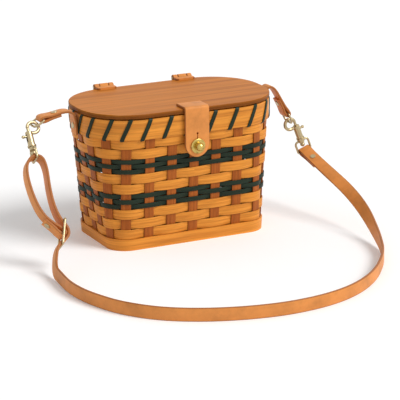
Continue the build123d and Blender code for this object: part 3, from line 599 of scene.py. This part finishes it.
class BASKET_OT_hinges(bpy.types.Operator):
    """Rolls the leather hinge leaves round their pins"""
    bl_idname = "basket.hinges"
    bl_label = "Hinges"

    def execute(self, context):
        for name, x in (("left", -42.0), ("right", 42.0)):
            self.upper(name, x)
            self.lower(name, x)
        finish_nodes(metal(), "hinge_pin_left", "hinge_pin_right", "hinge_rim_rivets")
        return {"FINISHED"}

    def upper(self, name, x):
        """The lid's leaf and its roll round the middle of the pin."""
        y, width = leaf(50.7, 2.1, np.linspace(53.2, 57.6, 8))
        flat = at_x(x, np.stack([y, 0 * y + LID_TOP + 1], 1))
        entry = [(57.7, LID_TOP + 1), (58.8, LID_TOP + 1.2)]
        neck = at_x(x, np.concatenate([entry, rolled(2.3, 112, -160)]))
        strips = [band(flat * MM, (1, 0, 0), width, 0.002),
                  band(neck * MM, (1, 0, 0), 0.0092, 0.0018)]
        put(f"hinge_upper_leather_{name}", strips, tan(), [f"hinge_upper_{name}"],
            "lid")

    def lower(self, name, x):
        """The rim's leaf and its two rolls round the ends of the pin."""
        z, width = leaf(113.0, 6.0, np.linspace(119.4, 128.2, 10))
        plate = at_x(x, np.stack([0 * z + 59.35, z], 1))
        strips = [band(plate * MM, (1, 0, 0), width, 0.002)]
        arm = np.concatenate([[(59.3, 128.3), (59.2, 131.0)], rolled(2.25, 180, -110)])
        for side in (-7.5, 7.5):
            strips.append(band(at_x(x + side, arm) * MM, (1, 0, 0), 0.005, 0.0018))
        put(f"hinge_lower_leather_{name}", strips, tan(), [f"hinge_lower_{name}"])


def ear_line(side, fold):
    """The ear's points in X and Z: up the rim, over an arch, round the ring's bar and back."""
    half_mouth, rim_thick, lashing_gap, lashing_thick, half_leather = 93.5, 2.8, 0.25, 0.8, 1.1
    x0 = half_mouth + rim_thick + lashing_gap + lashing_thick + half_leather + 0.05
    fx, fz = abs(fold[0]), fold[1]
    run = np.array([fx - x0 - 10.0, fz - LID_TOP + 3.0])
    size = np.hypot(*run)
    way = run / size
    up = np.array([-way[1], way[0]])
    lay, close = 2.2, 1.15
    marks = ((size + 2.2, close), (9.0, close), (3.5, lay), (-lay, lay), (-lay, -lay), (3.5, -lay),
             (9.0, -close), (18.0, -close))
    tail = [np.array([fx, fz]) - way * back + up * out for back, out in marks]
    points = np.array([(x0, 107.0), (x0, LID_TOP - 6.5)] + [tuple(p) for p in tail])
    return points * [side, 1]


class BASKET_OT_ears(bpy.types.Operator):
    """Folds the leather ears round the rings and finishes the snap hooks"""
    bl_idname = "basket.ears"
    bl_label = "Ears and snaps"

    def execute(self, context):
        for name, side, fold in (("left", -1, (-131.5, 125.0)), ("right", 1, (125.0, 100.0))):
            flat = smooth(ear_line(side, fold), 10)
            line = np.stack([flat[:, 0], 0 * flat[:, 0], flat[:, 1]], 1)
            strip = band(line * MM, (0, 1, 0), 0.0126, 0.0022)
            put(f"ear_leather_{name}", [strip], tan(), [f"ear_{name}"])
            finish_nodes(metal(), *[f"{n}_{name}" for n in (
                "d_ring", "snap_hook", "snap_bolt", "bolt_spring", "swivel_eye")])
        finish_nodes(metal(), "ear_rim_rivets", "ear_fold_rivets")
        return {"FINISHED"}


# The strap's free run, in metres, from the fold at the right eye to the loop at the left
STRAP_ROUTE = (
    (0.14951, -0.02276, 0.05209), (0.15149, -0.03670, 0.04691), (0.1565, -0.0630, 0.0365),
    (0.1565, -0.0860, 0.0290), (0.1545, -0.1080, 0.0210), (0.1505, -0.1280, 0.0135),
    (0.1440, -0.1500, 0.0082), (0.1345, -0.1720, 0.0061), (0.1230, -0.1910, 0.0061),
    (0.1095, -0.2090, 0.0061), (0.0950, -0.2260, 0.0061), (0.0785, -0.2410, 0.0061),
    (0.0595, -0.2540, 0.0061), (0.0380, -0.2640, 0.0061), (0.0120, -0.2705, 0.0061),
    (-0.0200, -0.2725, 0.0061), (-0.0520, -0.2675, 0.0061), (-0.0800, -0.2585, 0.0061),
    (-0.1030, -0.2470, 0.0061), (-0.1210, -0.2340, 0.0061), (-0.1345, -0.2190, 0.0061),
    (-0.1460, -0.2020, 0.0061), (-0.1540, -0.1820, 0.0061), (-0.1595, -0.1630, 0.0061),
    (-0.1625, -0.1460, 0.0066), (-0.1629, -0.1300, 0.0067), (-0.1613, -0.1120, 0.0070),
    (-0.158945, -0.088637, 0.007300), (-0.153364, -0.080000, 0.018221),
)
LOOP_ORIGIN = np.array((-146.916, -21.166, 92.618))
LOOP_X = np.array((-0.99955, 0.018609, 0.023532))
LOOP_Y = np.array((-0.030001, -0.620014, -0.784017))
LOOP_ACROSS = np.array((0.0, -0.78437, 0.620293))
RIGHT_BAR = np.array((146.753, 0.0, 59.291))
FOLD_WAY = np.array((0.131984, -0.929164, -0.345303))
FOLD_UP = np.array((0.331744, 0.369667, -0.867924))
FOLD_ACROSS = np.array((0.934091, 0.0, 0.357035))


def spline_points(name, points):
    """The points of a NURBS spline of order 3 that has those points as its controls."""
    data = bpy.data.curves.new(name, "CURVE")
    data.dimensions = "3D"
    data.resolution_u = 8
    spline = data.splines.new("NURBS")
    spline.points.add(len(points) - 1)
    spline.points.foreach_set("co", [v for p in points for v in (*p, 1.0)])
    spline.order_u = 3
    spline.use_endpoint_u = True
    curve = bpy.data.objects.new(name, data)
    bpy.context.scene.collection.objects.link(curve)
    mesh = bpy.data.meshes.new_from_object(curve)
    line = np.empty(len(mesh.vertices) * 3)
    mesh.vertices.foreach_get("co", line)
    bpy.data.objects.remove(curve)
    bpy.data.curves.remove(data)
    bpy.data.meshes.remove(mesh)
    return line.reshape(-1, 3)


def loop_line():
    """The loop's line: control points in the loop's plane go round the buckle's middle bar, round
    the eye's bar at the plane's origin and through the buckle again."""
    lay, near = STRAP_LAY, STRAP_NEAR
    middle = np.array((-7.5, 75.0))
    fixed = np.array((0.668, -0.745)) / np.hypot(0.668, 0.745)
    slide = np.array((0.317, 0.948)) / np.hypot(0.317, 0.948)
    low = lay + 1.5
    bulge = -lay - 2 * near - 0.4

    def at(way, along, across):
        return middle + way * along + np.array((way[1], -way[0])) * across

    points = [at(fixed, a, b) for a, b in ((20, -near), (9.5, -near), (4.5, -lay), (-lay, -lay),
                                           (-lay, lay), (4.5, lay), (9.5, near), (24, near))]
    points += [(12.6, 36), (13.2, 10), (6, -lay), (-5, -lay), (-7.6, 9), (-5.2, 30), (-5, 48)]
    through = ((-12.5, low), (-4.5, bulge), (4.5, bulge), (12.5, low))
    points += [at(slide, a, b) for a, b in through]
    points.append((3.6, 95))
    flat = np.array([tuple(p) for p in points])
    points = LOOP_ORIGIN + flat[:, :1] * LOOP_X + flat[:, 1:] * LOOP_Y
    return spline_points("strap_loop", points * MM)


def fold_line():
    """The strap's right end: a narrow hairpin round the eye's bar."""
    lay, near = STRAP_LAY, STRAP_NEAR
    flat = np.array([(24, -near), (9.5, -near), (3.5, -lay), (-lay, -lay), (-lay, lay), (3.5, lay),
                     (9.5, near), (24, near)])
    points = RIGHT_BAR + flat[:, :1] * FOLD_WAY + flat[:, 1:] * FOLD_UP
    return spline_points("strap_fold", points * MM)


class BASKET_OT_strap(bpy.types.Operator):
    """Lays the shoulder strap, its fold, its loop and the slide buckle"""
    bl_idname = "basket.strap"
    bl_label = "Strap"

    def execute(self, context):
        wide = sizes().strap_width
        line = spline_points("strap_route", STRAP_ROUTE)
        steps = np.linalg.norm(np.diff(line, axis=0), axis=1)
        along = np.concatenate([[0], np.cumsum(steps)])
        rise = np.clip(along / 0.150, 0, 1)[:, None]
        fall = np.clip((along[-1] - along) / 0.110, 0, 1)[:, None]
        upright = np.array((0, 0, 1)) * (rise + fall - 1)
        across = FOLD_ACROSS * (1 - rise) + LOOP_ACROSS * (1 - fall) + upright
        run, loop, fold = [
            put(f"{node}_leather", [band(points, sideways, wide, STRAP_THICK, soft=0.3)], tan(),
                [node])
            for node, points, sideways in (("strap_run", line, across),
                                           ("strap_loop", loop_line(), LOOP_ACROSS),
                                           ("strap_fold", fold_line(), FOLD_ACROSS))]
        finish_nodes(metal(), "slide_buckle", "strap_rivets")
        return {"FINISHED"}


class BASKET_OT_stage(bpy.types.Operator):
    """Lays a pale floor, a soft sun, a pale sky and the camera"""
    bl_idname = "basket.stage"
    bl_label = "Stage"

    def execute(self, context):
        scene = context.scene
        self.floor(scene)
        self.sky(scene)
        self.sun(scene)
        self.camera(scene)
        scene.view_settings.view_transform = "Standard"
        return {"FINISHED"}

    def floor(self, scene):
        """White paper that glows a little, so that its far part is pure white."""
        mesh = bpy.data.meshes.new("floor")
        mesh.from_pydata([(-6, -6, 0), (6, -6, 0), (6, 6, 0), (-6, 6, 0)], [], [(0, 1, 2, 3)])
        floor = bpy.data.objects.new("floor", mesh)
        scene.collection.objects.link(floor)
        material, tree, shader = start("white_paper")
        shader.inputs["Base Color"].default_value = (0.95, 0.95, 0.95, 1)
        shader.inputs["Emission Color"].default_value = (1, 1, 1, 1)
        shader.inputs["Emission Strength"].default_value = 0.1
        shader.inputs["Roughness"].default_value = 0.9
        mesh.materials.append(material)

    def sky(self, scene):
        """White to the camera and in reflections, half as bright as a light."""
        world = scene.world or bpy.data.worlds.new("studio")
        scene.world = world
        world.use_nodes = True
        world.node_tree.nodes.clear()
        tree = world.node_tree
        ray = add(tree, "ShaderNodeLightPath")
        seen = add(tree, "ShaderNodeMath", {0: ray.outputs["Is Camera Ray"],
                                            1: ray.outputs["Is Glossy Ray"]}, operation="MAXIMUM")
        dim = add(tree, "ShaderNodeBackground", {"Color": (1, 1, 1, 1), "Strength": 0.5})
        pale = add(tree, "ShaderNodeBackground", {"Color": (1, 1, 1, 1), "Strength": 1.0})
        mix = add(tree, "ShaderNodeMixShader", {
            0: seen.outputs[0], 1: dim.outputs[0], 2: pale.outputs[0]})
        add(tree, "ShaderNodeOutputWorld", {"Surface": mix.outputs[0]})

    def sun(self, scene):
        """A wide, soft sun from the front right."""
        light = bpy.data.lights.new("key", "SUN")
        light.energy, light.angle = 2.2, 0.5
        lamp = bpy.data.objects.new("key", light)
        scene.collection.objects.link(lamp)
        lamp.rotation_euler = Vector((-0.70, 0.86, -1.1)).to_track_quat("-Z", "Y").to_euler()

    def camera(self, scene):
        """The camera at the photograph's angle: its turn, tilt and roll in radians, its distance
        in metres, and its focal length and centre in pixels of a picture 400 wide."""
        yaw, pitch, roll, distance, focal = 0.4371, 0.2689, -0.0148, 2.001, 2083.9
        wide, centre = 400, (170.52, 162.38)
        cy, sy, cp, sp = math.cos(yaw), math.sin(yaw), math.cos(pitch), math.sin(pitch)
        forward = np.array((sy * cp, cy * cp, -sp))
        right = np.array((cy, -sy, 0.0))
        up = np.cross(right, forward)
        right, up = (math.cos(roll) * right + math.sin(roll) * up,
                     -math.sin(roll) * right + math.cos(roll) * up)
        data = bpy.data.cameras.new("camera")
        data.sensor_width = 36.0
        data.lens = data.sensor_width * focal / wide
        data.shift_x = (wide / 2 - centre[0]) / wide
        data.shift_y = (centre[1] - wide / 2) / wide
        camera = bpy.data.objects.new("camera", data)
        scene.collection.objects.link(camera)
        place = np.array((0, 0, 0.066)) - forward * distance
        matrix = np.eye(4)
        matrix[:3, 0], matrix[:3, 1], matrix[:3, 2], matrix[:3, 3] = right, up, -forward, place
        camera.matrix_world = Matrix(matrix.tolist())
        scene.camera = camera


class BASKET_PT_panel(bpy.types.Panel):
    """Lists the pieces of the basket purse"""
    bl_label = "Basket purse"
    bl_space_type = "VIEW_3D"
    bl_region_type = "UI"
    bl_category = "Basket"

    def draw(self, context):
        for group in (context.scene.basket_sizes, context.scene.basket_colours):
            for key in group.__annotations__:
                self.layout.prop(group, key)
        for step in STEPS:
            self.layout.operator(step.bl_idname)


STEPS = (BASKET_OT_weave, BASKET_OT_woodwork, BASKET_OT_lashing, BASKET_OT_closure,
         BASKET_OT_hinges, BASKET_OT_ears, BASKET_OT_strap, BASKET_OT_stage)
CLASSES = (BasketSizes, BasketColours) + STEPS + (BASKET_PT_panel,)


def register():
    for part in CLASSES:
        bpy.utils.register_class(part)
    bpy.types.Scene.basket_sizes = PointerProperty(type=BasketSizes)
    bpy.types.Scene.basket_colours = PointerProperty(type=BasketColours)


def unregister():
    del bpy.types.Scene.basket_sizes
    del bpy.types.Scene.basket_colours
    for part in reversed(CLASSES):
        bpy.utils.unregister_class(part)


def main():
    register()
    for step in STEPS:
        group, name = step.bl_idname.split(".")
        getattr(getattr(bpy.ops, group), name)()


if __name__ == "__main__":
    main()
